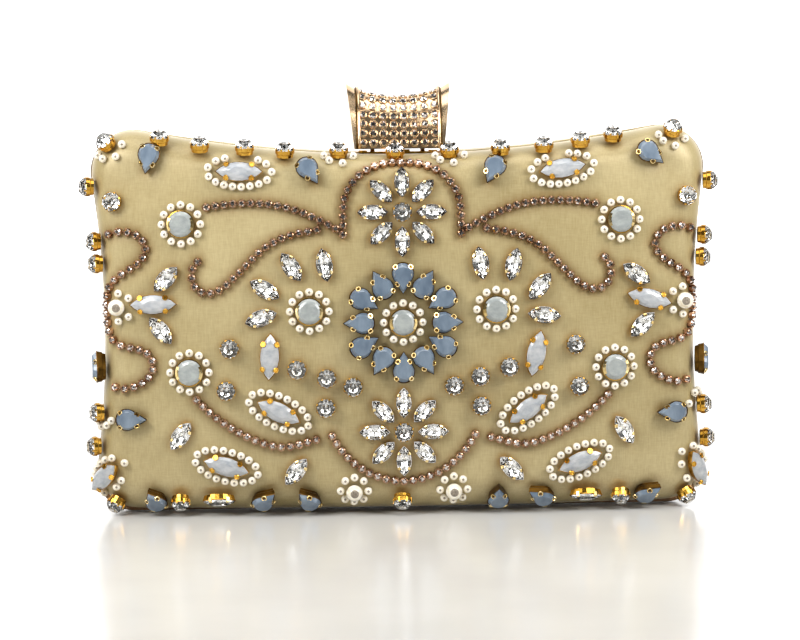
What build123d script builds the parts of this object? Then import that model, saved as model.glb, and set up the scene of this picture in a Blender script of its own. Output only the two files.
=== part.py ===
from build123d import *
import math
import os

# Box clutch: two satin-covered pans in metal rims, hinged along the bottom and
# closed by a stone-set saddle clasp that tilts back on a pin. The front pan
# carries sewn stones, pearls and cup chain.
# Millimetres. +X right, +Z up, -Y front. Everything is drawn with the two rims
# meeting on y = 0 and the rims standing on z = 0, then moved back by parting_y.

# ---------------------------------------------------------------- driving sizes
pan_depth = 24.0            # parting plane to the middle of a pan's face
crown_radius = 650.0        # the swell of each face
edge_roll = 9.5             # rounding where a face turns into its side
waist_half_width = 100.2    # half width where the sides draw in
waist_height = 62.8
side_radius = 340.0         # both sides bow inwards
top_dip_height = 120.4      # middle of the top edge, its lowest point
top_radius = 444.0          # the top edge bows downwards
top_corner = 13.5
bottom_corner = 12.0
cover_floor = 3.0           # the satin stops this far above the table

satin_thickness = 0.5
foam_thickness = 2.1
shell_thickness = 1.4
lining_thickness = 0.4

rim_proud = 0.5             # the metal stands this far out of the satin
rim_depth = 4.0             # of each rim, back from the parting plane
parting_gap = 0.15          # half the gap between the closed rims
rim_lip = 1.0               # inner lip that holds the pan's edge

hinge_height = 1.6          # hinge axis above the table
hinge_x = 58.0              # middle of each hinge
knuckle_radius = 1.5
knuckle_length = 8.0
knuckle_gap = 0.3
hinge_pin_radius = 0.7
hinge_pin_head = 1.2
running_gap = 0.05          # pin to bore
leaf_thickness = 0.6
leaf_reach = 3.6
groove_half = 1.8           # groove for the knuckles, under both rims
groove_roof = 3.3

clasp_foot = 123.1          # underside of the clasp
clasp_half_width = 14.4     # of its stone-set field
clasp_height = (17.5, 20.2)  # above its foot, at its waist and at its ends
clasp_half_depth = (10.0, 11.2)
clasp_wall = 1.2
clasp_cap_flare = (0.9, 3.3)  # end cap thickness at the foot and at the tip
clasp_cap_grow = (0.5, 2.3)  # the cap stands out past the field, in y and in z
clasp_heel = 125.4          # behind the pin the foot is cut away up to here
clasp_pivot_y = 5.6
clasp_pivot_z = 127.0
clasp_pin_radius = 0.9
clasp_ear_x = 8.6           # middle of each bracket ear
clasp_ear_width = 1.5
clasp_boss_radius = 2.1
clasp_lug_x = 6.9           # middle of each lug inside the clasp
plate_half_width = 14.8     # base plates under the clasp
plate_top = 122.0
plate_inset = 0.35          # from the parting plane
rivet_radius = 0.7
rivet_x = 12.0
catch_top = 122.7

clasp_stone_columns = 8
clasp_stone_rows = 14
clasp_stone_pitch = 3.5
clasp_stone_radius = 1.4
clasp_stone_margin = 0.045  # share of the arch left free at the foot

spring_coils = 7
spring_pitch = 0.75
spring_radius = 1.6
spring_wire = 0.32

stand_off = 0.05            # air between a sewn piece and the satin
sewing_gap = 0.06           # and between a pearl or a chain cup and its neighbours
cup_height = 2.6            # of a pronged stone setting
small_cup_height = 2.1      # of the flatter settings on the face
pearl_radius = 1.38
large_pearl_radius = 2.8
chain_pitch = 2.95
chain_cup_radius = 1.2
chain_cup_height = 1.5

parting_y = 2.6             # puts the whole bag's box on the origin

foam_skin = satin_thickness + foam_thickness
shell_skin = foam_skin + shell_thickness
lining_skin = shell_skin + lining_thickness
shell_edge = parting_gap + rim_lip

# ---------------------------------------------------------------- sewn layout
# Places on the face are (x, z); a turn is in degrees from +X, seen from the
# front. A pair is sewn at x and at -x, with its own turn on each side.
medallion = (0, 65.3)
upper_flower = (0, 102.3)
lower_flower = (0, 28.3)
flower_petals = 8
flower_petal_radius = 9.9
medallion_petals = 12
medallion_petal_radius = 14.9

face_round_pairs = [(58.2, 57), (59.5, 42.8), (35.7, 49.8), (25.8, 46.8), (17, 43.8), (26.2, 36.8)]
# (x, z, turn at +x, turn at -x)
face_marquise_pairs = [
    (37.3, 84.3, 76, 124),
    (26.2, 84.9, 98, 100),
    (46.2, 76.8, 50, 150),
    (47.6, 67.2, -6, 18),
    (79.2, 80.5, -34, 46),
    (81.2, 63.2, 44, -50),
    (75, 27.5, -58, 54),
    (36.4, 15.2, -45, 51),
]
ringed_navette_pairs = [(54.3, 116, 10, -2), (42, 35.5, 36, -26), (59.8, 17, 21, -15)]
plain_navette_pairs = [(83.6, 72, -14, 1), (44.8, 54.2, 78, 87)]
ringed_opal_pairs = [(74, 98.8), (71.8, 49), (31.4, 69.3)]
# (x, z, direction of the stone's point at +x, and at -x)
face_pear_pairs = [(30.8, 115.3, -115, -60), (91.3, 33.2, 180, 0)]
side_flower_pairs = [(95, 71)]
bottom_flower_pairs = [(16.8, 8.6)]

# Edge stones: the face angle says how far round the rolled edge a stone is
# sewn, 0 on the face and 90 on the side, and the aim is where it points.
# (x, face angle)
top_rounds = [(-81, 40), (-67.5, 39), (-52.5, 48), (-39, 51), (-1.8, 70),
              (33.8, 60), (48.5, 52), (61, 52), (72.3, 52)]
top_ringed_rounds = [(-20.8, 70), (16.6, 70)]
side_round_z = [111.5, 93, 85.5, 23.2]
side_ringed_round_z = [34.8]
side_pear_z = [50.5]
bottom_round_x = [-75.5, -0.6, 74]
bottom_marquise_x = [-62.5, 62]
# (x, direction of the stone's point)
bottom_pears = [(-84.3, 108), (-47, 62), (-32.6, 115), (32, 90), (46.4, 132), (83.6, 52)]
top_aim = 78
corner_face_angle = 46
corner_aim = 62
side_face_angle = 62
side_aim = 84
bottom_face_angle = 31
bottom_aim = 69
bottom_pear_aim = 46

# Cup chain runs at +x; every run is repeated at -x.
chain_arch = [(0, 118), (10.2, 116.6), (15.8, 113), (19, 107.5), (19.8, 101), (19.9, 95)]
chain_upper_swirl = [(22.3, 96.9), (32, 101.8), (41, 104.7), (50, 105.7), (58, 105.4), (65.5, 104.4)]
chain_lower_swirl = [(25.5, 97), (34.2, 95.6), (41, 93.6), (47, 90), (52.2, 85), (57.8, 79.5),
                     (63.5, 75.8), (68.6, 76.6), (70.7, 80.8), (68.6, 86.2)]
chain_side_loop = [(98, 95.6), (92.4, 96.3), (87.2, 93.6), (86, 90), (88.6, 85.8), (94.2, 82),
                   (97.8, 78), (98.8, 72.5), (98.6, 65.4), (96.6, 59.4), (90, 57), (85.2, 54.6),
                   (84.2, 50), (88, 45.3), (96.6, 43.8)]
chain_lower_arch = [(0, 11.4), (7.5, 12.5), (16.4, 17.3), (21.6, 22.8), (24.2, 27)]
chain_swag = [(26.6, 26.6), (32, 25.2), (40.2, 23.4), (48.6, 25.2), (57, 29.3), (64.4, 34.6), (69.6, 39.6)]


# ---------------------------------------------------------------- pans
def top_edge_z(x):
    return top_dip_height + top_radius - math.sqrt(top_radius**2 - x**2)


def side_edge_x(z):
    rise = z - waist_height
    return waist_half_width + side_radius - math.sqrt(side_radius**2 - rise**2)


def face_depth(x, z):
    """How far in front of the parting plane the swelling face stands."""
    across = math.hypot(x, z - waist_height)
    return pan_depth - crown_radius + math.sqrt(crown_radius**2 - across**2)


def outline(grow, floor):
    """The bag's front view, down to floor, grown outwards from the satin's edge."""
    face = Pos(0, floor) * Rectangle(240, 150, align=(Align.CENTER, Align.MIN))
    face -= Pos(0, top_dip_height + top_radius) * Circle(top_radius - grow)
    for side in (-1, 1):
        centre_x = side * (waist_half_width + side_radius)
        face -= Pos(centre_x, waist_height) * Circle(side_radius - grow)
    high_corners = face.vertices().filter_by(lambda v: v.Y > waist_height)
    face = fillet(high_corners, top_corner + grow)
    low_corners = face.vertices().filter_by(lambda v: v.Y < floor + 0.01)
    return fillet(low_corners, bottom_corner + grow)


def slab(face, near, away):
    """A flat outline made solid between y = -near and y = -away."""
    return extrude(Pos(0, -near, 0) * (Plane.XZ * face), away - near)


def pan_block(inset, start):
    """A solid pan, inset from the satin's surface, from y = -start to its face."""
    block = slab(outline(-inset, cover_floor + inset), start, start + pan_depth)
    ball = Pos(0, crown_radius - pan_depth, waist_height) * Sphere(crown_radius - inset)
    block = block & ball
    front = block.faces().sort_by(Axis.Y)[0]
    return fillet(front.edges(), edge_roll - inset)


def pan_skin(outer, inner, start):
    """One layer of the pan, open towards the parting plane."""
    return pan_block(outer, start) - pan_block(inner, start - rim_lip)


def rim():
    """L-section metal rim: a bar outside the pan's edge and a lip behind it."""
    bar = slab(outline(rim_proud, 0), parting_gap, rim_depth)
    bar -= slab(outline(-foam_skin, cover_floor + foam_skin), shell_edge, rim_depth + 1)
    bar -= slab(outline(-lining_skin, cover_floor + lining_skin), 0, rim_depth + 1)
    groove = Box(3 * waist_half_width, 2 * groove_half, 2 * groove_roof)
    return bar - groove


# ---------------------------------------------------------------- hinges
def knuckle_centres(side):
    """Front leaves have the middle knuckle, rear leaves the two outer ones."""
    step = knuckle_length + knuckle_gap
    return [0] if side < 0 else [-step, step]


hinge_length = 3 * knuckle_length + 2 * knuckle_gap
leaf_top = hinge_height + knuckle_radius
leaf_root = groove_half - 0.3


def leaf_plate(x, side):
    """The flat of a leaf: side is -1 at the front, 1 at the rear."""
    middle = side * (leaf_root + leaf_reach) / 2
    plate = Box(hinge_length, leaf_reach - leaf_root, leaf_thickness)
    return Pos(x, middle, leaf_top - leaf_thickness / 2) * plate


def hinge_leaf(x, side):
    leaf = leaf_plate(x, side)
    for centre in knuckle_centres(side):
        barrel = Cylinder(knuckle_radius, knuckle_length, rotation=(0, 90, 0))
        tongue = Box(knuckle_length, leaf_root, leaf_thickness)
        leaf += Pos(x + centre, 0, hinge_height) * barrel
        leaf += Pos(x + centre, side * leaf_root / 2, leaf_top - leaf_thickness / 2) * tongue
    bore = Cylinder(hinge_pin_radius + running_gap, 2 * hinge_length, rotation=(0, 90, 0))
    return leaf - Pos(x, 0, hinge_height) * bore


def headed_pin(radius, head_radius, length, head_length):
    """A pin along X with a peened head at each end."""
    pin = Cylinder(radius, length + head_length, rotation=(0, 90, 0))
    for end in (-1, 1):
        head = Cylinder(head_radius, head_length, rotation=(0, 90, 0))
        pin += Pos(end * (length + head_length) / 2, 0, 0) * head
    return pin


# ---------------------------------------------------------------- clasp
def clasp_section(x, shrink):
    """Half ellipse across the clasp at x, standing on its foot."""
    share = (x / clasp_half_width) ** 2
    depth = clasp_half_depth[0] + share * (clasp_half_depth[1] - clasp_half_depth[0]) - shrink
    height = clasp_height[0] + share * (clasp_height[1] - clasp_height[0]) - shrink
    return half_ellipse(Plane.YZ.offset(x), depth, height, clasp_foot)


def half_ellipse(plane, depth, height, foot):
    arch = Ellipse(depth, height) & Pos(0, height) * Rectangle(3 * depth, 2 * height)
    return plane * (Pos(0, foot) * arch)


def clasp_block(shrink):
    stations = [-1, -0.5, 0, 0.5, 1]
    return loft([clasp_section(s * clasp_half_width, shrink) for s in stations])


def heel_cut():
    """Removes the clasp's rear foot, so that it clears the bag as it tilts."""
    high = clasp_heel - clasp_foot + 1
    return Pos(0, 2.5, clasp_foot - 1) * Box(50, 20, high, align=(Align.CENTER, Align.MIN, Align.MIN))


def pivot_bore():
    bore = Cylinder(clasp_pin_radius + running_gap, 60, rotation=(0, 90, 0))
    return Pos(0, clasp_pivot_y, clasp_pivot_z) * bore


def clasp_saddle():
    hollow = clasp_block(clasp_wall)
    saddle = clasp_block(0) - hollow
    for side in (-1, 1):
        lug = Box(clasp_ear_width, 12, 6.2, align=(Align.CENTER, Align.MIN, Align.CENTER))
        lug = Pos(side * clasp_lug_x, clasp_pivot_y - 2.4, clasp_pivot_z + 1) * lug
        saddle += lug & clasp_block(clasp_wall / 2)
    return saddle - heel_cut() - pivot_bore()


def clasp_cap(side):
    """End cap: a flared plate, thin at the foot and thick at the tip."""
    depth = clasp_half_depth[1] + clasp_cap_grow[0]
    height = clasp_height[1] + clasp_cap_grow[1]
    tilt = math.degrees(math.atan2(clasp_cap_flare[1] - clasp_cap_flare[0], height))
    inner = clasp_section(clasp_half_width, -0.2)
    foot_x = clasp_half_width + clasp_cap_flare[0]
    outer_plane = Plane(
        origin=(foot_x, 0, clasp_foot),
        x_dir=(0, 1, 0),
        z_dir=(math.cos(math.radians(tilt)), 0, -math.sin(math.radians(tilt))),
    )
    outer = half_ellipse(outer_plane, depth, height, 0)
    cap = loft([inner, outer], ruled=True) - heel_cut()
    return cap if side > 0 else mirror(cap, Plane.YZ)


def base_plate(side, rim_solid):
    """A plate on top of a rim, shaped to the rim's dip."""
    width = rim_depth - 0.4 - plate_inset
    plate = Box(2 * plate_half_width, width, 2.4, align=(Align.CENTER, Align.MIN, Align.MAX))
    plate = Pos(0, plate_inset, plate_top) * plate
    if side < 0:
        plate = mirror(plate, Plane.XZ)
    return plate - rim_solid


def rivets(side):
    y = side * (plate_inset + rim_depth - 0.4) / 2
    stem_length = 3.2
    stem = Cylinder(rivet_radius, stem_length, align=(Align.CENTER, Align.CENTER, Align.MAX))
    head = Cylinder(2 * rivet_radius, 0.4, align=(Align.CENTER, Align.CENTER, Align.MIN))
    return [Pos(x, y, plate_top) * (stem + head) for x in (-rivet_x, rivet_x)]


def clasp_bracket(rim_solid):
    bracket = base_plate(1, rim_solid)
    for side in (-1, 1):
        web = make_face(Polyline(
            (1.0, plate_top - 0.5),
            (rim_depth - 0.4, plate_top - 0.5),
            (clasp_pivot_y + clasp_boss_radius, clasp_pivot_z),
            (clasp_pivot_y - clasp_boss_radius, clasp_pivot_z),
            close=True,
        ))
        ear = web + Pos(clasp_pivot_y, clasp_pivot_z) * Circle(clasp_boss_radius)
        start = side * clasp_ear_x - clasp_ear_width / 2
        bracket += extrude(Plane.YZ.offset(start) * ear, clasp_ear_width)
    return bracket - pivot_bore()


def catch_plate(rim_solid):
    """Front base plate with the nose that the clasp's hook drops behind."""
    nose = Box(8, 1.2, catch_top - plate_top + 0.2, align=(Align.CENTER, Align.MAX, Align.MAX))
    return base_plate(-1, rim_solid) + Pos(0, -1.2, catch_top) * nose


def clasp_hook():
    """Bar inside the clasp's front wall, just above the catch."""
    bar = Box(10, 6.5, 1.6, align=(Align.CENTER, Align.MIN, Align.MIN))
    bar = Pos(0, -clasp_half_depth[0] + 0.4, clasp_foot + 0.1) * bar
    return bar & clasp_block(clasp_wall)


def clasp_stones():
    """Rows of stones over the clasp, evenly spaced round its section."""
    block = clasp_block(0)
    stone = Cone(clasp_stone_radius, 0.55 * clasp_stone_radius, 0.8,
                 align=(Align.CENTER, Align.CENTER, Align.MIN))
    stones = []
    for column in range(clasp_stone_columns):
        x = (column - (clasp_stone_columns - 1) / 2) * clasp_stone_pitch
        arch = EllipticalCenterArc((0, clasp_foot), clasp_half_depth[0], clasp_height[0], 180, arc_size=-180)
        curve = Plane.YZ.offset(x) * arch
        for row in range(clasp_stone_rows):
            share = clasp_stone_margin + row * (1 - 2 * clasp_stone_margin) / (clasp_stone_rows - 1)
            place = curve.position_at(share)
            core = Vector(x, 0, clasp_foot + 2)
            point, normal = block.find_intersection_points(Axis(core, place - core))[-1]
            if point.Y > 0 and point.Z < clasp_heel + clasp_stone_radius:
                continue
            if normal.dot(place - core) < 0:
                normal = normal * -1
            stones.append(Plane(point + normal * 0.02, z_dir=normal).location * stone)
    return stones


def clasp_spring():
    """Torsion spring on the pin: close rings, and a leg on each end ring."""
    coils = []
    for turn in range(spring_coils):
        x = (turn - (spring_coils - 1) / 2) * spring_pitch
        ring = Torus(spring_radius, spring_wire, rotation=(0, 90, 0))
        if turn in (0, spring_coils - 1):
            reach = clasp_pivot_z - plate_top - 0.1 if turn == 0 else 5
            hang = Align.MAX if turn == 0 else Align.MIN
            leg = Cylinder(spring_wire, reach, align=(Align.CENTER, Align.CENTER, hang))
            ring += Pos(0, -spring_radius, 0) * leg
        coils.append(Pos(x, clasp_pivot_y, clasp_pivot_z) * ring)
    return coils


# ---------------------------------------------------------------- stones
def lens_face(length, width):
    """Pointed oval made of two arcs."""
    half, rise = length / 2, width / 2
    upper = ThreePointArc((-half, 0), (0, rise), (half, 0))
    lower = ThreePointArc((half, 0), (0, -rise), (-half, 0))
    return make_face([upper, lower])


def pear_face(length, width):
    """Drop with its point towards +X and its middle on the origin."""
    radius = width / 2
    reach = length - radius
    centre = radius - length / 2
    spread = math.degrees(math.acos(radius / reach))
    touch = Vector(radius * math.cos(math.radians(spread)), radius * math.sin(math.radians(spread)))
    tip = (length / 2, 0)
    round_end = CenterArc((centre, 0), radius, spread, 360 - 2 * spread)
    high = Line(tip, (centre + touch.X, touch.Y))
    low = Line((centre + touch.X, -touch.Y), tip)
    return make_face([high, round_end, low])


def setting(face_of, length, width, height):
    """Metal cup, a little smaller at its foot than at its mouth."""
    foot = face_of(0.84 * length, 0.84 * width)
    mouth = face_of(0.96 * length, 0.96 * width)
    return loft([foot, Pos(0, 0, height) * mouth], ruled=True)


def gem(face_of, length, width, foot, girdle, crown):
    """Cut stone on top of its cup: a girdle, then a crown up to a flat table."""
    belt = extrude(Pos(0, 0, foot) * face_of(length, width), girdle)
    table = face_of(0.55 * length, 0.55 * width)
    top = loft([Pos(0, 0, foot + girdle) * face_of(length, width),
                Pos(0, 0, foot + girdle + crown) * table], ruled=True)
    return belt + top


def round_face(length, width):
    return Circle(length / 2)


def dome(radius, foot, girdle, rise):
    """Round cabochon on its cup."""
    ball_radius = (radius**2 + rise**2) / (2 * rise)
    cap = Pos(0, 0, rise - ball_radius) * Sphere(ball_radius)
    cap = cap & Cylinder(radius + 1, rise, align=(Align.CENTER, Align.CENTER, Align.MIN))
    belt = Cylinder(radius, girdle, align=(Align.CENTER, Align.CENTER, Align.MIN))
    return Pos(0, 0, foot) * (belt + Pos(0, 0, girdle) * cap)


round_length = 6.5
marquise_length, marquise_width = 11.0, 5.5
petal_length, petal_width = 10.0, 5.2
pear_length, pear_width = 9.6, 6.7
navette_length, navette_width = 15.6, 6.4
opal_radius = 4.4

round_cup = setting(round_face, round_length, round_length, cup_height)
round_gem = gem(round_face, round_length, round_length, cup_height, 1.1, 1.5)
marquise_cup = setting(lens_face, marquise_length, marquise_width, small_cup_height)
marquise_gem = gem(lens_face, marquise_length, marquise_width, small_cup_height, 0.6, 1.3)
petal_cup = setting(lens_face, petal_length, petal_width, small_cup_height)
petal_gem = gem(lens_face, petal_length, petal_width, small_cup_height, 0.6, 1.3)
pear_cup = setting(pear_face, pear_length, pear_width, cup_height)
pear_gem = gem(pear_face, pear_length, pear_width, cup_height, 0.8, 1.5)
navette_cup = setting(lens_face, navette_length, navette_width, small_cup_height)
navette_gem = gem(lens_face, navette_length, navette_width, small_cup_height, 0.6, 1.3)
opal_cup = setting(round_face, 2 * opal_radius, 2 * opal_radius, small_cup_height)
opal_gem = dome(opal_radius, small_cup_height, 0.5, 1.3)
chain_cup = Cylinder(chain_cup_radius, chain_cup_height, align=(Align.CENTER, Align.CENTER, Align.MIN))
chain_gem = Cone(0.9, 0.5, 0.5, align=(Align.CENTER, Align.CENTER, Align.MIN))
chain_gem = Pos(0, 0, chain_cup_height) * chain_gem

satin_block = pan_block(0, rim_depth)


# ---------------------------------------------------------------- seats on the satin
def satin_at(core, toward):
    """Where a line from inside the pan comes out of the satin, and the normal there."""
    hits = satin_block.find_intersection_points(Axis(core, toward))
    point, normal = hits[-1]
    if normal.dot(Vector(toward)) < 0:
        normal = normal * -1
    return point, normal


def seat(core, toward, turn=0, aim=None, foot=0):
    """A plane for a piece sewn on the satin. Aimed off the normal, it stands
    clear on the edge of its foot."""
    point, normal = satin_at(core, toward)
    axis = Vector(aim).normalized() if aim else normal
    lean = math.radians(axis.get_angle(normal))
    lift = stand_off + foot * math.sin(lean)
    along = Vector(math.cos(math.radians(turn)), 0, math.sin(math.radians(turn)))
    along = along - axis * along.dot(axis)
    return Plane(point + normal * lift, x_dir=along, z_dir=axis)


def face_seat(x, z, turn=0):
    return seat((x, -rim_depth, z), (0, -1, 0), turn)


def facing(outward, angle):
    """Direction that is angle degrees from the front, towards outward (x, z)."""
    swing = math.radians(angle)
    return (outward[0] * math.sin(swing), -math.cos(swing), outward[1] * math.sin(swing))


def edge_seat(core_x, core_z, outward, face_angle, aim_angle, foot, turn):
    core_y = edge_roll - face_depth(core_x, core_z)
    toward = facing(outward, face_angle)
    return seat((core_x, core_y, core_z), toward, turn, facing(outward, aim_angle), foot)


def top_seat(x, face_angle):
    core_z = top_edge_z(x) - edge_roll
    return edge_seat(x, core_z, (0, 1), face_angle, top_aim, 2.6, 0)


def side_seat(side, z, foot=2.6):
    core_x = side * (side_edge_x(z) - edge_roll)
    return edge_seat(core_x, z, (side, 0), side_face_angle, side_aim, foot, 90)


def bottom_seat(x, aim_angle, foot, turn=0):
    core_z = cover_floor + edge_roll
    return edge_seat(x, core_z, (0, -1), bottom_face_angle, aim_angle, foot, turn)


def corner_seat(side, high, bearing, face_angle, aim_angle, foot=2.6, turn=0):
    """Seat round a corner, bearing degrees up from sideways."""
    radius = top_corner if high else bottom_corner
    corner_x = side_edge_x(115.5 if high else 15) - radius
    corner_z = 116.2 if high else cover_floor + radius
    outward = (side * math.cos(math.radians(bearing)), math.sin(math.radians(bearing)))
    core_x = side * corner_x + outward[0] * (radius - edge_roll)
    core_z = corner_z + outward[1] * (radius - edge_roll)
    return edge_seat(core_x, core_z, outward, face_angle, aim_angle, foot, turn)


def even(count):
    return [i / count for i in range(count)]


opal_ring = Circle(6.6).edge()
flower_ring = Circle(4.7).edge()
crystal_ring = Circle(5.3).edge()
navette_ring = Ellipse(11.1, 5.1).edge()

pieces = {name: [] for name in (
    "round_crystals", "round_crystal_cups", "marquise_crystals", "marquise_cups",
    "pear_stones", "pear_cups", "round_opals", "round_opal_cups", "navette_opals",
    "navette_opal_cups", "small_pearls", "large_pearls", "chain_cups", "chain_crystals",
    "foot_crystals",
)}


taken = []                  # (middle, reach, solid) of everything sewn so far
pearl_rings = []            # (seat, path, places), sewn last


def sew(plane, stone_node, stone, cup_node, cup):
    for node, solid in ((stone_node, stone), (cup_node, cup)):
        placed = plane.location * solid
        pieces[node].append(placed)
        box = placed.bounding_box()
        taken.append((box.center(), box.diagonal / 2, placed))


def has_room(middle, radius):
    """True when a ball of this size clears everything sewn so far."""
    for other, reach, solid in taken:
        if (other - middle).length > reach + radius + sewing_gap:
            continue
        if solid.distance_to(Vertex(*middle)) < radius + sewing_gap:
            return False
    return True


def sew_pearl(node, point, normal, radius):
    middle = point + normal * (radius + stand_off)
    if has_room(middle, radius):
        pearl = Pos(middle) * Sphere(radius)
        pieces[node].append(pearl)
        taken.append((middle, radius, pearl))


def sew_rings():
    """Pearls on the satin under points of a flat path round each stone."""
    for middle, path, places in pearl_rings:
        core = middle.origin - middle.z_dir * edge_roll
        for place in places:
            above = middle.from_local_coords(path.position_at(place))
            point, normal = satin_at(core, above - core)
            sew_pearl("small_pearls", point, normal, pearl_radius)


def sew_round(plane, stones="round_crystals"):
    sew(plane, stones, round_gem, "round_crystal_cups", round_cup)


def sew_marquise(plane):
    sew(plane, "marquise_crystals", marquise_gem, "marquise_cups", marquise_cup)


def sew_petal(plane):
    sew(plane, "marquise_crystals", petal_gem, "marquise_cups", petal_cup)


def sew_pear(plane):
    sew(plane, "pear_stones", pear_gem, "pear_cups", pear_cup)


def sew_navette(plane, places):
    sew(plane, "navette_opals", navette_gem, "navette_opal_cups", navette_cup)
    pearl_rings.append((plane, navette_ring, places))


def sew_opal(plane):
    sew(plane, "round_opals", opal_gem, "round_opal_cups", opal_cup)
    pearl_rings.append((plane, opal_ring, even(12)))


def half_ring(plane, first, last, count):
    """Pearls round one side of a crystal, between two angles in the seat's own plane."""
    places = [(first + (last - first) * i / (count - 1)) / 360 for i in range(count)]
    pearl_rings.append((plane, crystal_ring, places))


def sew_pearl_flower(x, z):
    plane = face_seat(x, z)
    sew_pearl("large_pearls", plane.origin, plane.z_dir, large_pearl_radius)
    pearl_rings.append((plane, flower_ring, even(8)))


def sew_chain(points, mirrored_start):
    """Cups along a smooth line at +x and -x; a line that starts on x = 0 shares its first cup."""
    line = Spline(*points)
    count = int(line.length / chain_pitch)
    for i in range(count + 1):
        flat = line.position_at(i / count)
        sides = (1,) if mirrored_start and i == 0 else (-1, 1)
        for side in sides:
            plane = face_seat(side * flat.X, flat.Y)
            if has_room(plane.origin + plane.z_dir * chain_cup_radius, chain_cup_radius):
                sew(plane, "chain_crystals", chain_gem, "chain_cups", chain_cup)


# ---------------------------------------------------------------- sewing
sew_opal(face_seat(*medallion))
for i in range(medallion_petals):
    angle = 90 + i * 360 / medallion_petals
    x = medallion[0] + medallion_petal_radius * math.cos(math.radians(angle))
    z = medallion[1] + medallion_petal_radius * math.sin(math.radians(angle))
    points_inward = i % 2 == 0
    sew_pear(face_seat(x, z, angle + 180 if points_inward else angle))

for flower in (upper_flower, lower_flower):
    sew_round(face_seat(*flower))
    for i in range(flower_petals):
        angle = 90 + i * 360 / flower_petals
        x = flower[0] + flower_petal_radius * math.cos(math.radians(angle))
        z = flower[1] + flower_petal_radius * math.sin(math.radians(angle))
        sew_petal(face_seat(x, z, angle))

for x, z in face_round_pairs:
    sew_round(face_seat(x, z))
    sew_round(face_seat(-x, z))
for x, z, right_turn, left_turn in face_marquise_pairs:
    sew_marquise(face_seat(x, z, right_turn))
    sew_marquise(face_seat(-x, z, left_turn))
for x, z, right_turn, left_turn in ringed_navette_pairs:
    sew_navette(face_seat(x, z, right_turn), even(17))
    sew_navette(face_seat(-x, z, left_turn), even(17))
for x, z, right_turn, left_turn in plain_navette_pairs:
    sew_navette(face_seat(x, z, right_turn), [])
    sew_navette(face_seat(-x, z, left_turn), [])
for x, z in ringed_opal_pairs:
    sew_opal(face_seat(x, z))
    sew_opal(face_seat(-x, z))
for x, z, right_turn, left_turn in face_pear_pairs:
    sew_pear(face_seat(x, z, right_turn))
    sew_pear(face_seat(-x, z, left_turn))
for x, z in side_flower_pairs + bottom_flower_pairs:
    sew_pearl_flower(x, z)
    sew_pearl_flower(-x, z)

for x, face_angle in top_rounds:
    sew_round(top_seat(x, face_angle))
for x, face_angle in top_ringed_rounds:
    plane = top_seat(x, face_angle)
    sew_round(plane)
    half_ring(plane, 190, 350, 6)
# The crystals along the bottom edge reach the table first when the bag leans forward, so they
# are a group of their own: they are its front feet.
for x in bottom_round_x:
    sew_round(bottom_seat(x, bottom_aim, 2.6), "foot_crystals")
for x in bottom_marquise_x:
    sew_marquise(bottom_seat(x, bottom_aim, 2.3))
for x, point_turn in bottom_pears:
    sew_pear(bottom_seat(x, bottom_pear_aim, 3.4, point_turn))

for side in (-1, 1):
    for z in side_round_z:
        sew_round(side_seat(side, z))
    for z in side_ringed_round_z:
        plane = side_seat(side, z)
        sew_round(plane)
        half_ring(plane, 90 - side * 90 - 80, 90 - side * 90 + 80, 6)
    for z in side_pear_z:
        sew_pear(side_seat(side, z, 3))
    sew_round(corner_seat(side, False, -62, 52, 72), "foot_crystals")
    sew_round(face_seat(side * 96.5, 106.5))
    high_bearing = 81 if side > 0 else 51
    high_corner = corner_seat(side, True, high_bearing, corner_face_angle, corner_aim)
    sew_round(high_corner)
    half_ring(high_corner, 190, 350, 6)
    corner_opal = corner_seat(side, False, -12, 42, 44, turn=-48 if side > 0 else 33)
    sew_navette(corner_opal, even(17))
    sew_pear(face_seat(side * 84.5, 120.4, -100 if side < 0 else -40))

for run, shared in (
    (chain_arch, True), (chain_upper_swirl, False), (chain_lower_swirl, False),
    (chain_side_loop, False), (chain_lower_arch, True), (chain_swag, False),
):
    sew_chain(run, shared)
sew_rings()

# ---------------------------------------------------------------- pans and metalwork
front_rim = rim()
pocket_x = (-hinge_x, hinge_x)
for x in pocket_x:
    front_rim -= leaf_plate(x, -1)
rear_rim = mirror(front_rim, Plane.XZ)
for rivet in rivets(-1):
    front_rim -= rivet
for rivet in rivets(1):
    rear_rim -= rivet

front_layers = {
    "shell": pan_skin(foam_skin, shell_skin, shell_edge),
    "padding": pan_skin(satin_thickness, foam_skin, rim_depth),
    "cover": pan_skin(0, satin_thickness, rim_depth),
    "lining": pan_skin(shell_skin, lining_skin, shell_edge),
}
for layer, solid in front_layers.items():
    pieces["front_" + layer] = [solid]
    pieces["rear_" + layer] = [mirror(solid, Plane.XZ)]
pieces["front_frame"] = [front_rim]
pieces["rear_frame"] = [rear_rim]

for label, x in (("left", -hinge_x), ("right", hinge_x)):
    pieces["hinge_leaf_front_" + label] = [hinge_leaf(x, -1)]
    pieces["hinge_leaf_rear_" + label] = [hinge_leaf(x, 1)]
    pin = headed_pin(hinge_pin_radius, hinge_pin_head, hinge_length, 0.6)
    pieces["hinge_pin_" + label] = [Pos(x, 0, hinge_height) * pin]

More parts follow.
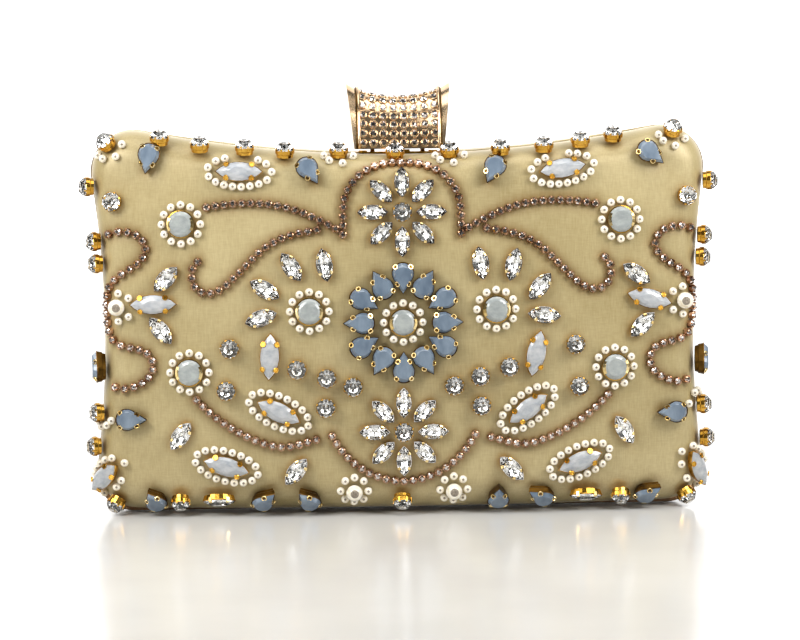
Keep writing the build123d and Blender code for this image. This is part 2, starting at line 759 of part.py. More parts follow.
bracket = clasp_bracket(rear_rim)
catch = catch_plate(front_rim)
for rivet in rivets(1):
    bracket -= rivet
for rivet in rivets(-1):
    catch -= rivet
pieces["clasp_bracket"] = [bracket]
pieces["clasp_bracket_rivets"] = rivets(1)
pieces["catch_plate"] = [catch]
pieces["catch_rivets"] = rivets(-1)
pin_length = 2 * clasp_ear_x + clasp_ear_width
pin = headed_pin(clasp_pin_radius, 1.5, pin_length, 0.7)
pieces["clasp_pivot_pin"] = [Pos(0, clasp_pivot_y, clasp_pivot_z) * pin]
pieces["clasp_spring"] = clasp_spring()
pieces["clasp_saddle"] = [clasp_saddle()]
pieces["clasp_end_left"] = [clasp_cap(-1)]
pieces["clasp_end_right"] = [clasp_cap(1)]
pieces["clasp_hook"] = [clasp_hook()]
pieces["clasp_stones"] = clasp_stones()

# ---------------------------------------------------------------- export
os.makedirs("parts", exist_ok=True)
for node, solids in pieces.items():
    placed = [Pos(0, parting_y, 0) * solid for solid in solids]
    shape = placed[0] if len(placed) == 1 else Compound(children=placed)
    export_step(shape, "parts/" + node + ".step")
    print(node, len(solids))
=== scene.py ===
# %% [markdown]
# # A box clutch with sewn stones
# The bag is two padded pans in metal rims, hinged below and closed by a clasp on top. The metalwork
# was made in CAD and is loaded first. It stays where it is: everything modelled here is placed by it.

# %% Load the frame
import math

import bpy
import numpy as np
from mathutils import Matrix, Vector


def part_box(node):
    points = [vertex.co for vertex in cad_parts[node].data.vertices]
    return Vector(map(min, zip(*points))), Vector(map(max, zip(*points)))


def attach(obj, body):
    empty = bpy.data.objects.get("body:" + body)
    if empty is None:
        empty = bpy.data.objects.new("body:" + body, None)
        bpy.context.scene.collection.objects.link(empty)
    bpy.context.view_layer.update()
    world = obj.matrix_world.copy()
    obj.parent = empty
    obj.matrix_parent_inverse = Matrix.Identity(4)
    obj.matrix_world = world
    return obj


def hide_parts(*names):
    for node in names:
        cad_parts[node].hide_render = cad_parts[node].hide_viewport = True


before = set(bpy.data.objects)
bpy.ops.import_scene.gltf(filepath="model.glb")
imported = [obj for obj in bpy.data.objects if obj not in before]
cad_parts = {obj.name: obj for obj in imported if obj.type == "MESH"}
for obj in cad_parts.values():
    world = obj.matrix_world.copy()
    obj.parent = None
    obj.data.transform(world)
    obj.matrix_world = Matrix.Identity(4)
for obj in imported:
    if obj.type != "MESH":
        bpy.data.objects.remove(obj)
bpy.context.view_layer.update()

MM = 0.001
print("CAD nodes:", len(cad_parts))

# %% [markdown]
# Operators act on whatever is selected, and loading leaves the CAD nodes selected. So two small
# helpers come first: one selects a single piece, and one selects faces by their place and normal.


# %% Selection helpers
def only(piece):
    """Makes this the one selected and active object."""
    bpy.ops.object.select_all(action="DESELECT")
    piece.select_set(True)
    bpy.context.view_layer.objects.active = piece
    return piece


def edit(piece, mode="FACE", everything=True):
    """Enters edit mode with everything selected, or nothing."""
    only(piece)
    bpy.ops.object.mode_set(mode="EDIT")
    bpy.ops.mesh.select_mode(type=mode)
    bpy.ops.mesh.select_all(action="SELECT" if everything else "DESELECT")


def done():
    """Leaves edit mode and hands back the piece."""
    bpy.ops.object.mode_set(mode="OBJECT")
    return bpy.context.view_layer.objects.active


def pick_faces(piece, wanted):
    """Enters edit mode with only the faces selected whose centre and normal are wanted."""
    edit(piece, "FACE", everything=False)
    done()
    for face in piece.data.polygons:
        face.select = bool(wanted(face.center, face.normal))
    bpy.ops.object.mode_set(mode="EDIT")


def settle(piece, move=None):
    """Puts a piece's place into its mesh, so that its object sits at the origin."""
    bpy.context.view_layer.update()
    piece.data.transform((move or Matrix.Identity(4)) @ piece.matrix_world)
    piece.matrix_world = Matrix.Identity(4)
    return piece


def join(name, pieces):
    """Joins pieces into one named object."""
    bpy.ops.object.select_all(action="DESELECT")
    for piece in pieces:
        piece.select_set(True)
    bpy.context.view_layer.objects.active = pieces[0]
    if len(pieces) > 1:
        bpy.ops.object.join()
    joined = bpy.context.view_layer.objects.active
    joined.name = name
    joined.data.name = name
    return joined


def finish_piece(piece, finish, body, nodes):
    """Gives a piece its material, its body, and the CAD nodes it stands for."""
    if finish:
        piece.data.materials.clear()
        piece.data.materials.append(finish)
    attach(piece, body)
    if nodes:
        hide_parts(*nodes)
    print(piece.name, "faces", len(piece.data.polygons))
    return piece


# %% [markdown]
# ## Finishes
# Colours are written as sRGB hex and turned to linear by one function. Another adds a node with its
# settings and links, and a third joins the shader to the output.


# %% Node helpers
def linear(code):
    """A hex colour as linear red, green, blue and alpha."""
    parts = [int(code[i:i + 2], 16) / 255 for i in (1, 3, 5)]
    return [c / 12.92 if c <= 0.04045 else ((c + 0.055) / 1.055) ** 2.4 for c in parts] + [1.0]


def new_finish(name):
    finish = bpy.data.materials.new(name)
    finish.use_nodes = True
    finish.node_tree.nodes.clear()
    return finish


def node(finish, kind, inputs=None, **settings):
    """Adds a node. An input's value is a constant, or another node's output."""
    added = finish.node_tree.nodes.new(kind)
    for setting, value in settings.items():
        setattr(added, setting, value)
    for name, value in (inputs or {}).items():
        socket = next(s for s in added.inputs if s.name == name and s.enabled)
        if isinstance(value, bpy.types.NodeSocket):
            finish.node_tree.links.new(value, socket)
        else:
            socket.default_value = value
    return added


def result(mix):
    """The one live output of a Mix node."""
    return next(socket for socket in mix.outputs if socket.enabled)


def place(finish, stretch=(1, 1, 1), turn=(0, 0, 0)):
    """Object coordinates, turned and stretched, in metres."""
    spot = node(finish, "ShaderNodeTexCoord").outputs["Object"]
    mapping = node(finish, "ShaderNodeMapping", {"Vector": spot, "Rotation": turn, "Scale": stretch})
    return mapping.outputs["Vector"]


def noise(finish, spot, size, detail=3.0, roughness=0.5):
    """Noise whose patches are about this many millimetres across."""
    made = node(finish, "ShaderNodeTexNoise",
                {"Vector": spot, "Scale": 1 / (size * MM), "Detail": detail, "Roughness": roughness})
    return made.outputs["Fac"]


def between(finish, amount, low, high, dark, light):
    """A colour that goes from dark to light as the amount goes from low to high."""
    ramp = node(finish, "ShaderNodeValToRGB", {"Fac": amount})
    ramp.color_ramp.elements[0].position = low
    ramp.color_ramp.elements[0].color = linear(dark)
    ramp.color_ramp.elements[1].position = high
    ramp.color_ramp.elements[1].color = linear(light)
    return ramp.outputs["Color"]


def spread(finish, amount, low, high):
    """Turns an amount from 0 to 1 into a value from low to high."""
    made = node(finish, "ShaderNodeMapRange", {"Value": amount, "To Min": low, "To Max": high})
    return made.outputs["Result"]


def bump(finish, height, depth_mm, strength=1.0):
    made = node(finish, "ShaderNodeBump",
                {"Height": height, "Distance": depth_mm * MM, "Strength": strength})
    return made.outputs["Normal"]


def principled(finish, **inputs):
    """Ends a finish with the Principled shader. Names use _ for a space."""
    named = {name.replace("_", " "): value for name, value in inputs.items()}
    shader = node(finish, "ShaderNodeBsdfPrincipled", named)
    node(finish, "ShaderNodeOutputMaterial", {"Surface": shader.outputs["BSDF"]})
    return finish


# %% [markdown]
# Champagne duchess satin. Its warp threads float over the weft, so it has a soft sheen and a fine
# grain both down and across the bag. Real threads are about 0.1 mm apart, too fine to see, so the
# grain is drawn 0.45 mm apart. Where a stone is sewn on, the thread pulls the satin into a dimple.
# Round each stone the colour is also turned darker and warmer: painted shade of the dimple and a
# painted reflection of the gold setting. An attribute made with the cover says where.


# %% Satin
def duchess_satin():
    finish = new_finish("duchess_satin_woven")
    warp = noise(finish, place(finish, stretch=(1, 1, 0.12)), 0.45, detail=2)
    weft = noise(finish, place(finish, stretch=(0.12, 1, 1)), 0.45, detail=2)
    threads = result(node(finish, "ShaderNodeMix", {"Factor": 0.4, "A": warp, "B": weft},
                          data_type="FLOAT"))
    patches = noise(finish, place(finish), 30, detail=3)
    tone = result(node(finish, "ShaderNodeMix", {"Factor": 0.5, "A": threads, "B": patches},
                       data_type="FLOAT"))
    plain = between(finish, tone, 0.34, 0.66, "#95855b", "#b2a37a")
    # Painted shade and painted reflection of gold: the satin turns warm brown round each stone.
    dimple_and_painted_shade = node(finish, "ShaderNodeAttribute", attribute_name="dimple_and_painted_shade").outputs["Fac"]
    sewn = node(finish, "ShaderNodeMix", {"Factor": dimple_and_painted_shade, "A": plain, "B": linear("#75541f")},
                data_type="RGBA")
    rough = spread(finish, threads, 0.3, 0.44)
    weave = bump(finish, threads, 0.05, 0.6)
    return principled(finish, Base_Color=result(sewn), Roughness=rough, Normal=weave,
                      Anisotropic=0.4, Sheen_Weight=0.8, Sheen_Roughness=0.3,
                      Sheen_Tint=linear("#fff4da"), Specular_IOR_Level=0.9,
                      Specular_Tint=linear("#fff0cf"))


satin = duchess_satin()

# %% [markdown]
# The lining is a matte cotton twill, whose ribs run on the slant. Real ribs are under 1 mm apart, too
# fine to show, so they are drawn 4.7 mm apart. The wave texture repeats every pi / (10 * scale). The
# foam is open-celled polyurethane, and the shell under it is moulded polystyrene.


# %% Lining, foam and shell
TWILL_PITCH = 4.735 * MM


def cotton_twill():
    finish = new_finish("cotton_twill_woven")
    slant = place(finish, turn=(0, math.radians(45), 0))
    ribs = node(finish, "ShaderNodeTexWave", {"Vector": slant, "Scale": math.pi / (10 * TWILL_PITCH),
                "Distortion": 0.6, "Detail": 2.0}, bands_direction="X").outputs["Fac"]
    fuzz = noise(finish, place(finish), 0.9)
    colour = between(finish, noise(finish, place(finish), 24), 0.3, 0.7, "#a6987c", "#b9ac90")
    ridges = node(finish, "ShaderNodeMix", {"Factor": 0.4, "A": ribs, "B": fuzz}, data_type="FLOAT")
    return principled(finish, Base_Color=colour, Roughness=spread(finish, fuzz, 0.75, 0.92),
                      Normal=bump(finish, result(ridges), 0.12, 0.6), Sheen_Weight=0.2)


def open_foam():
    finish = new_finish("polyurethane_foam_open_cell")
    cells = node(finish, "ShaderNodeTexVoronoi", {"Vector": place(finish), "Scale": 1 / (0.9 * MM)})
    colour = between(finish, cells.outputs["Distance"], 0.1, 0.7, "#b9ae90", "#ece4cc")
    return principled(finish, Base_Color=colour, Roughness=0.9,
                      Normal=bump(finish, cells.outputs["Distance"], 0.25, 0.8))


def moulded_shell():
    finish = new_finish("polystyrene_moulded")
    grain = noise(finish, place(finish), 0.8)
    colour = between(finish, noise(finish, place(finish), 15), 0.3, 0.7, "#c9c2b2", "#d6d0c2")
    return principled(finish, Base_Color=colour, Roughness=spread(finish, grain, 0.35, 0.5),
                      Normal=bump(finish, grain, 0.03, 0.4))


lining = cotton_twill()
foam = open_foam()
board = moulded_shell()

# %% [markdown]
# The rims, plates and settings are gold-plated brass, polished before plating, so their reflections
# are sharp but a little uneven. The clasp and the cup chain have a pinker plating, the rims a duller
# one, and the settings of the blue drops are antiqued dark. The same dark brass is also used as
# painted shade in the eyelets' holes and in a gap inside each end of the clasp. One recipe makes
# them all, each with its own two colours.


# %% Plated metal
def plated_brass(name, dark, light, shine=0.14):
    finish = new_finish(name)
    handling = noise(finish, place(finish), 5, detail=4)
    polish = noise(finish, place(finish, stretch=(1, 1, 6)), 0.7, detail=2)
    colour = between(finish, handling, 0.3, 0.7, dark, light)
    return principled(finish, Base_Color=colour, Metallic=1.0,
                      Roughness=spread(finish, handling, shine, shine + 0.14),
                      Normal=bump(finish, polish, 0.02, 0.25))


gold = plated_brass("brass_gold_plated_polished", "#b5842c", "#d8aa4b")
bright_gold = plated_brass("brass_gold_plated_bright", "#d9b568", "#f7e3ae", shine=0.1)
rim_gold = plated_brass("brass_rose_gold_plated_dull", "#7c6045", "#917254", shine=0.26)
pale_gold = plated_brass("brass_rose_gold_plated_polished", "#d9b78f", "#e9cfaa", shine=0.12)
copper_gold = plated_brass("brass_copper_gold_plated_stamped", "#8c6247", "#cfa98a", shine=0.22)
# Antiqued brass for the drop settings, and also painted shade in eyelet holes and the clasp's gaps.
antiqued_brass_and_painted_shade = plated_brass("brass_antiqued_and_painted_shade", "#2b1e0d", "#6b4d1e", shine=0.3)


def drawn_steel():
    finish = new_finish("steel_drawn_wire")
    lines = noise(finish, place(finish, stretch=(0.1, 1, 1)), 0.4, detail=3)
    colour = between(finish, lines, 0.3, 0.7, "#8d8b88", "#b8b6b2")
    return principled(finish, Base_Color=colour, Metallic=1.0, Roughness=spread(finish, lines, 0.25, 0.42),
                      Normal=bump(finish, lines, 0.02, 0.4))


steel = drawn_steel()

# %% [markdown]
# Crystals are cut lead glass with silver foil behind. Light goes in through the crown, bounces off
# the foil and comes out broken up by the facets, so the stone and the foil are two meshes: clear
# glass, and a bright mirror just under it. Foil is never quite flat, which a little noise gives.
# The same cells also make the foil darker or brighter patch by patch: painted facet reflections.
# The smoky foil, which alone makes the small stones of the clasp and the cup chain, is also tinted
# brown.


# %% Cut glass and foil
def cut_crystal():
    finish = new_finish("lead_glass_cut_clear")
    seed = noise(finish, place(finish), 2.2)
    tint = between(finish, seed, 0.3, 0.7, "#f4f4f2", "#ffffff")
    return principled(finish, Base_Color=tint, Roughness=0.0, IOR=1.56, Transmission_Weight=1.0,
                      Normal=bump(finish, seed, 0.01, 0.1))


def silver_foil(name, dark, light):
    finish = new_finish(name)
    painted_facet_reflections = node(finish, "ShaderNodeTexVoronoi", {"Vector": place(finish), "Scale": 1 / (1.1 * MM)})
    # Dark and bright cells in the colour: painted facet reflections.
    colour = between(finish, painted_facet_reflections.outputs["Distance"], 0.05, 0.6, dark, light)
    return principled(finish, Base_Color=colour, Metallic=1.0, Roughness=0.08,
                      Normal=bump(finish, painted_facet_reflections.outputs["Distance"], 0.2, 0.5))


crystal = cut_crystal()
foil = silver_foil("silver_foil_pressed_painted_reflections", "#8f8c88", "#f2f1ee")
chain_foil = silver_foil("silver_foil_smoked_painted_reflections", "#3d3430", "#e8ded8")

# %% [markdown]
# The blue drops and the milky stones are opaque glass. The drops are pressed slate-blue glass with a
# fire-polished face. Opal glass scatters light inside, so it glows softly, and the long stones carry
# faint swirls of white and pink.


# %% Opaque glass and pearls
def slate_blue_glass():
    finish = new_finish("opaque_glass_slate_blue_pressed")
    swirl = noise(finish, place(finish, stretch=(1, 1, 0.5)), 4, detail=3)
    colour = between(finish, swirl, 0.3, 0.7, "#566474", "#748290")
    return principled(finish, Base_Color=colour, Roughness=spread(finish, swirl, 0.1, 0.2), IOR=1.52,
                      Coat_Weight=0.4, Coat_Roughness=0.04, Normal=bump(finish, swirl, 0.03, 0.3))


def opal_glass(name, dark, light, size):
    finish = new_finish(name)
    swirl = noise(finish, place(finish, stretch=(1, 1, 1.6)), size, detail=4, roughness=0.6)
    colour = between(finish, swirl, 0.32, 0.68, dark, light)
    return principled(finish, Base_Color=colour, Roughness=spread(finish, swirl, 0.08, 0.2), IOR=1.5,
                      Subsurface_Weight=0.25, Subsurface_Radius=(0.002, 0.002, 0.002),
                      Coat_Weight=0.3, Coat_Roughness=0.03, Normal=bump(finish, swirl, 0.04, 0.3))


def glass_pearl():
    finish = new_finish("glass_pearl_dipped")
    lustre = noise(finish, place(finish), 1.6, detail=2)
    colour = between(finish, lustre, 0.3, 0.7, "#e2d6bb", "#f6f0e2")
    return principled(finish, Base_Color=colour, Roughness=spread(finish, lustre, 0.16, 0.26), IOR=1.5,
                      Subsurface_Weight=0.15, Subsurface_Radius=(0.001, 0.001, 0.001),
                      Sheen_Weight=0.3, Coat_Weight=0.7, Coat_Roughness=0.08)


# Grey-brown with a little grit: painted shade inside a pearl's drilled hole.
def pearl_hole_shade_finish():
    finish = new_finish("glass_pearl_hole_painted_shade")
    grit = noise(finish, place(finish), 0.5)
    return principled(finish, Base_Color=between(finish, grit, 0.3, 0.7, "#6a6052", "#968b7c"),
                      Roughness=0.6, Normal=bump(finish, grit, 0.05, 0.5))


hole_shade = pearl_hole_shade_finish()
slate = slate_blue_glass()
round_opal = opal_glass("opal_glass_milky_grey", "#8d9291", "#a6aaa6", 3.0)
long_opal = opal_glass("opal_glass_streaked", "#989da2", "#b9b9b9", 3.2)
pearl = glass_pearl()
print("finishes:", len(bpy.data.materials))

# %% [markdown]
# ## Where each stone sits
# CAD holds every stone as a plain solid whose underside is its largest flat face. Its middle says
# where the stone is, the way it faces says where the stone's back is, and its farthest corner says
# where its point is. So each detailed stone is laid exactly where the CAD stone lies.


# %% Read the CAD stones
def loose_solids(name):
    """The corner points and triangles of each solid in a CAD node, in metres."""
    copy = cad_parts[name].copy()
    copy.data = copy.data.copy()
    bpy.context.collection.objects.link(copy)
    edit(copy, "VERT")
    bpy.ops.mesh.remove_doubles(threshold=0.002 * MM)
    bpy.ops.mesh.separate(type="LOOSE")
    done()
    solids = []
    for part in list(bpy.context.selected_objects):
        mesh = part.data
        mesh.calc_loop_triangles()
        points = np.empty(3 * len(mesh.vertices))
        mesh.vertices.foreach_get("co", points)
        corners = np.empty(3 * len(mesh.loop_triangles), int)
        mesh.loop_triangles.foreach_get("vertices", corners)
        solids.append((points.reshape(-1, 3), corners.reshape(-1, 3)))
        bpy.data.meshes.remove(mesh)
    return solids


def underside(points, triangles):
    """The outward normal of a solid's largest flat face, and that face's points."""
    a, b, c = (points[triangles[:, i]] for i in range(3))
    cross = np.cross(b - a, c - a)
    size = np.linalg.norm(cross, axis=1)
    sound = size > 1e-12
    normals = cross[sound] / size[sound][:, None]
    alike = normals @ normals.T > 0.9999
    best = (alike @ size[sound]).argmax()
    members = triangles[sound][alike[best]]
    return normals[best], points[np.unique(members)]


def seat_of(points, triangles, cup_height, drop_length=None, level=False):
    """Matrix of one stone: origin at its cup's foot, Z outwards, X towards its point. A level
    stone is a round one, whose X is sideways. Its length comes back too, in metres."""
    down, rim = underside(points, triangles)
    middle = rim.mean(axis=0)
    far = rim[np.linalg.norm(rim - middle, axis=1).argmax()]
    along = (far - middle) / np.linalg.norm(far - middle)
    length = drop_length * MM if drop_length else 2 * np.linalg.norm(far - middle)
    centre = middle if level else far - along * length / 2
    if level:
        along = np.array([1.0, 0.0, 0.0])
        along -= down * (down @ along)
        along /= np.linalg.norm(along)
    origin = centre + down * cup_height * MM
    across = np.cross(-down, along)
    seat = Matrix.Identity(4)
    for column, axis in enumerate((along, across, -down, origin)):
        for row in range(3):
            seat[row][column] = axis[row]
    return seat, length


def seats(name, cup_height, drop_length=None, level=False):
    found = [seat_of(*solid, cup_height, drop_length, level) for solid in loose_solids(name)]
    print(name, "stones", len(found))
    return found


# %% [markdown]
# ## Shaping a stone and its setting
# Both start as a flat polygon with the stone's outline. Drawing its face up and in, step by step,
# gives the rows of facets, or the wall, the lip and the hollow of the cup. Round stones are turned
# half a facet between rows, so that the rows interlock as in a brilliant cut.


# %% Draw a polygon up into a solid
def round_outline(radius, count):
    turns = [2 * math.pi * i / count for i in range(count)]
    return [(radius * math.cos(t), radius * math.sin(t)) for t in turns]


def lens_outline(length, width, count):
    """Points of a pointed oval made of two arcs."""
    half, rise = length / 2, width / 2
    radius = (half**2 + rise**2) / (2 * rise)
    reach = math.asin(half / radius)
    points = []
    for side in (1, -1):
        for i in range(count // 2):
            t = side * (reach - 2 * reach * i / (count // 2))
            points.append((radius * math.sin(t), side * (radius * math.cos(t) - radius + rise)))
    return points


def drop_outline(length, width, count):
    """Points of a drop with its point towards +X: a round end and two straight sides."""
    radius = width / 2
    centre = radius - length / 2
    open_half = math.acos(radius / (length - radius))
    arc = 2 * math.pi - 2 * open_half
    turns = [open_half + arc * i / (count - 3) for i in range(count - 2)]
    points = [(centre + radius * math.cos(t), radius * math.sin(t)) for t in turns]
    low = ((points[-1][0] + length / 2) / 2, points[-1][1] / 2)
    return points + [low, (length / 2, 0)]


def draw_up(name, outline, steps, twist=0.0):
    """A solid whose outline is scaled at each (height, scale) step, in mm. twist turns each row."""
    bpy.ops.mesh.primitive_circle_add(vertices=len(outline), radius=MM, fill_type="NGON")
    piece = bpy.context.object
    piece.name = name
    height, scale = steps[0]
    for corner, (x, y) in zip(piece.data.vertices, outline):
        corner.co = (x * scale * MM, y * scale * MM, height * MM)
    edit(piece)
    for next_height, next_scale in steps[1:]:
        rise = (0, 0, (next_height - height) * MM)
        bpy.ops.mesh.extrude_region_move(TRANSFORM_OT_translate={"value": rise})
        grow = next_scale / scale
        bpy.ops.transform.resize(value=(grow, grow, 1), center_override=(0, 0, next_height * MM))
        if twist:
            bpy.ops.transform.rotate(value=twist, orient_axis="Z",
                                     center_override=(0, 0, next_height * MM))
        height, scale = next_height, next_scale
    bpy.ops.mesh.select_all(action="SELECT")
    bpy.ops.mesh.normals_make_consistent(inside=False)
    if twist:
        bpy.ops.mesh.quads_convert_to_tris(quad_method="SHORTEST_DIAGONAL")
    return done()


# %% [markdown]
# A claw is a strip of the cup's metal, bent over the stone's edge. A loop is a claw stamped as an
# eyelet, which lies on the slope of the crown. Its hole is filled with a dark disc: painted shade.


# %% Claws and loops
def claw(x, y, turn, foot, top, width=0.8, thick=0.3, hook=0.7):
    """A strip standing on the rim at (x, y), facing outwards along turn, hooked over inwards."""
    bpy.ops.mesh.primitive_cube_add(size=MM)
    piece = bpy.context.object
    edit(piece)
    bpy.ops.transform.resize(value=(thick, width, top - foot))
    bpy.ops.transform.translate(value=(0, 0, (top + foot) / 2 * MM))
    done()
    pick_faces(piece, lambda centre, normal: normal.z > 0.9)
    bpy.ops.mesh.extrude_region_move(TRANSFORM_OT_translate={"value": (-hook / 2 * MM, 0, 0.3 * MM)})
    bpy.ops.mesh.extrude_region_move(TRANSFORM_OT_translate={"value": (-hook / 2 * MM, 0, 0.15 * MM)})
    bpy.ops.transform.resize(value=(0.8, 0.7, 1))
    done()
    turned = Matrix.Translation((x * MM, y * MM, 0)) @ Matrix.Rotation(turn, 4, "Z")
    return settle(piece, turned)


def loop(x, y, z, turn, slope, radius=0.72, wire=0.19):
    """A stamped eyelet at (x, y, z), tilted back by slope about its own tangent."""
    bpy.ops.mesh.primitive_torus_add(major_radius=radius * MM, minor_radius=wire * MM,
                                     major_segments=12, minor_segments=6)
    piece = bpy.context.object
    piece.data.materials.append(bright_gold)
    # A dark disc fills the eyelet's hole: painted shade.
    bpy.ops.mesh.primitive_circle_add(vertices=8, radius=radius * MM, fill_type="NGON")
    shade_disc = bpy.context.object
    shade_disc.data.materials.append(antiqued_brass_and_painted_shade)
    piece = join("loop", [piece, shade_disc])
    tilt = Matrix.Rotation(turn, 4, "Z") @ Matrix.Rotation(slope, 4, "Y")
    return settle(piece, Matrix.Translation((x * MM, y * MM, z * MM)) @ tilt)


def spread_copies(name, master, places):
    """Copies a piece into every place, each copy with its own mesh, and joins them."""
    copies = []
    for matrix in places:
        copy = master.copy()
        copy.data = master.data.copy()
        copy.data.transform(matrix)
        bpy.context.collection.objects.link(copy)
        copies.append(copy)
    bpy.data.objects.remove(master)
    return join(name, copies)


def sized(found, master_length):
    """Seats with each one's own size, as a share of the master's length."""
    return [seat @ Matrix.Scale(length / (master_length * MM), 4) for seat, length in found]


def with_foil(cup, inner):
    """Gives the hollow of a cup the foil: its faces that look inwards and up."""
    cup.data.materials.append(gold)
    cup.data.materials.append(foil)
    for face in cup.data.polygons:
        centre = face.center
        inwards = face.normal.x * centre.x + face.normal.y * centre.y < -1e-9
        flat_floor = face.normal.z > 0.9 and centre.z < inner * MM
        if (inwards and face.normal.z > 0.05) or flat_floor:
            face.material_index = 1
    return cup


# %% [markdown]
# ## Round crystals
# A round stone stands on a deep cup, pinched at its foot, with eight small claws. The crown rises in
# two rows of facets to a small table, and the back comes down to a point inside the foil.

# %% Round crystals
CUP = 2.6
CUP_LOW = 2.1
ROUND = 6.5

round_seats = seats("round_crystals", CUP, level=True) + seats("foot_crystals", CUP, level=True)
round_places = sized(round_seats, ROUND)
ring = round_outline(ROUND / 2, 12)
gem = draw_up("round_crystals_cut", ring, [(0.7, 0.06), (2.5, 0.9), (2.8, 1.0), (3.7, 0.9), (5.1, 0.52)],
              twist=math.pi / 12)
finish_piece(spread_copies("round_crystals_cut", gem, round_places), crystal, "front_half",
             ["round_crystals", "foot_crystals"])

cup_steps = [(0.0, 0.55), (0.15, 0.86), (1.1, 0.9), (1.35, 0.96), (2.6, 1.0), (2.75, 1.02),
             (2.75, 0.96), (2.4, 0.86), (0.5, 0.06)]
cup = draw_up("cup", round_outline(ROUND / 2, 16), cup_steps)
with_foil(cup, 1.0)
claws = []
for i in range(8):
    turn = 2 * math.pi * (i + 0.5) / 8
    claws.append(claw(3.25 * math.cos(turn), 3.25 * math.sin(turn), turn, 1.6, 2.95, 0.6, 0.22, 0.5))
for piece in claws:
    piece.data.materials.append(gold)
cup = join("cup", [cup] + claws)
finish_piece(spread_copies("round_settings", cup, round_places), None, "front_half",
             ["round_crystal_cups"])

# %% [markdown]
# ## Pointed ovals
# The flowers and the sprays are pointed ovals in shallow gold settings. Each has a long narrow table
# and four claws, two beside each point.

# %% Marquise crystals
MARQUISE = 11.0
marquise_places = sized(seats("marquise_crystals", CUP_LOW), MARQUISE)
oval = lens_outline(MARQUISE, 5.5, 12)
gem = draw_up("marquise_crystals_cut", oval,
              [(0.4, 0.05), (1.9, 0.88), (2.15, 1.0), (2.9, 0.82), (3.7, 0.45)])
edit(gem)
bpy.ops.mesh.quads_convert_to_tris(quad_method="FIXED_ALTERNATE")
done()
finish_piece(spread_copies("marquise_crystals_cut", gem, marquise_places), crystal, "front_half",
             ["marquise_crystals"])


def oval_setting(length, width, height, claw_top, looped):
    """A shallow cup with a rolled lip, and four claws or eyelets beside its points."""
    steps = [(0.0, 0.7), (0.1, 0.9), (height - 0.3, 1.0), (height, 1.05), (height + 0.12, 1.04),
             (height + 0.1, 0.98), (height - 0.3, 0.88), (0.3, 0.05)]
    base = with_foil(draw_up("setting", lens_outline(length, width, 16), steps), 0.5)
    extras = []
    for end in (-1, 1):
        for side in (-1, 1):
            x = end * length * 0.27
            y = side * width * 0.36
            turn = math.atan2(y * 1.4, x * 0.5)
            if looped:
                extras.append(loop(x * 1.02, y, claw_top, turn, 0.5, 0.8, 0.2))
            else:
                extras.append(claw(x, y * 1.08, turn, height - 0.9, claw_top, 1.0, 0.3, 0.8))
                extras[-1].data.materials.append(bright_gold)
    return join("setting", [base] + extras)


setting = oval_setting(MARQUISE, 5.5, CUP_LOW, 2.6, looped=False)
finish_piece(spread_copies("marquise_settings", setting, marquise_places), None, "front_half",
             ["marquise_cups"])

# %% [markdown]
# ## Blue drops
# The drops are opaque, so they need no foil. Their crown is broad and rather flat, and four eyelets
# hold them: two near the point and two on the round end. Behind the stone the setting is deep.

# %% Blue drops
DROP = 9.6
DROP_WIDTH = 6.7
DROP_GROW = 1.1
drop_places = [seat @ Matrix.Scale(DROP_GROW, 4) for seat, length in seats("pear_stones", CUP, DROP)]
outline = drop_outline(DROP, DROP_WIDTH, 14)
gem = draw_up("blue_drops", outline, [(2.3, 0.9), (2.6, 0.96), (2.9, 0.97), (3.8, 0.82), (4.2, 0.72)])
finish_piece(spread_copies("blue_drops", gem, drop_places), slate, "front_half", ["pear_stones"])

steps = [(0.0, 0.6), (0.1, 0.82), (1.0, 0.88), (1.2, 0.95), (2.5, 1.0), (2.8, 1.04), (2.95, 1.02),
         (2.9, 0.95), (2.3, 0.85)]
setting = draw_up("setting", drop_outline(DROP, DROP_WIDTH, 20), steps)
setting.data.materials.append(antiqued_brass_and_painted_shade)
loops = [loop(1.75, side * 1.75, 3.5, side * 1.1, 0.6, 0.72, 0.2) for side in (-1, 1)]
loops += [loop(-3.5, side * 2.3, 3.4, math.pi - side * 0.8, 0.6, 0.68, 0.18) for side in (-1, 1)]
setting = join("setting", [setting] + loops)
finish_piece(spread_copies("drop_settings", setting, drop_places), None, "front_half", ["pear_cups"])

# %% [markdown]
# ## Milky stones
# The round ones are flat-topped cabochons, and the long ones have a low faceted crown. Both sit in
# gold settings with a claw or an eyelet at each side.

# %% Round milky stones
OPAL = 8.8
opal_places = sized(seats("round_opals", CUP_LOW, level=True), OPAL)
gem = draw_up("round_milky_stones", round_outline(OPAL / 2, 20),
              [(1.8, 0.95), (2.1, 1.0), (2.7, 0.98), (3.35, 0.84), (3.75, 0.68)])
finish_piece(spread_copies("round_milky_stones", gem, opal_places), round_opal, "front_half",
             ["round_opals"])

steps = [(0.0, 0.7), (0.1, 0.92), (1.7, 1.0), (2.1, 1.06), (2.4, 1.07), (2.45, 1.01), (1.9, 0.95)]
setting = draw_up("setting", round_outline(OPAL / 2, 24), steps)
claws = []
for side in (0, math.pi):
    for lean in (-0.38, -0.13, 0.13, 0.38):
        turn = side + lean
        x, y = 4.45 * math.cos(turn), 4.45 * math.sin(turn)
        claws.append(claw(x, y, turn, 1.6, 3.0, 1.3, 0.35, 1.0 + 2 * abs(lean)))
setting.data.materials.append(gold)
for piece in claws:
    piece.data.materials.append(bright_gold)
setting = join("setting", [setting] + claws)
finish_piece(spread_copies("round_milky_settings", setting, opal_places), None, "front_half",
             ["round_opal_cups"])

# %% [markdown]
# The long stones are pointed ovals like the marquise crystals, but larger and opaque, so they need no
# foil. The same setting is used, with eyelets in place of claws.

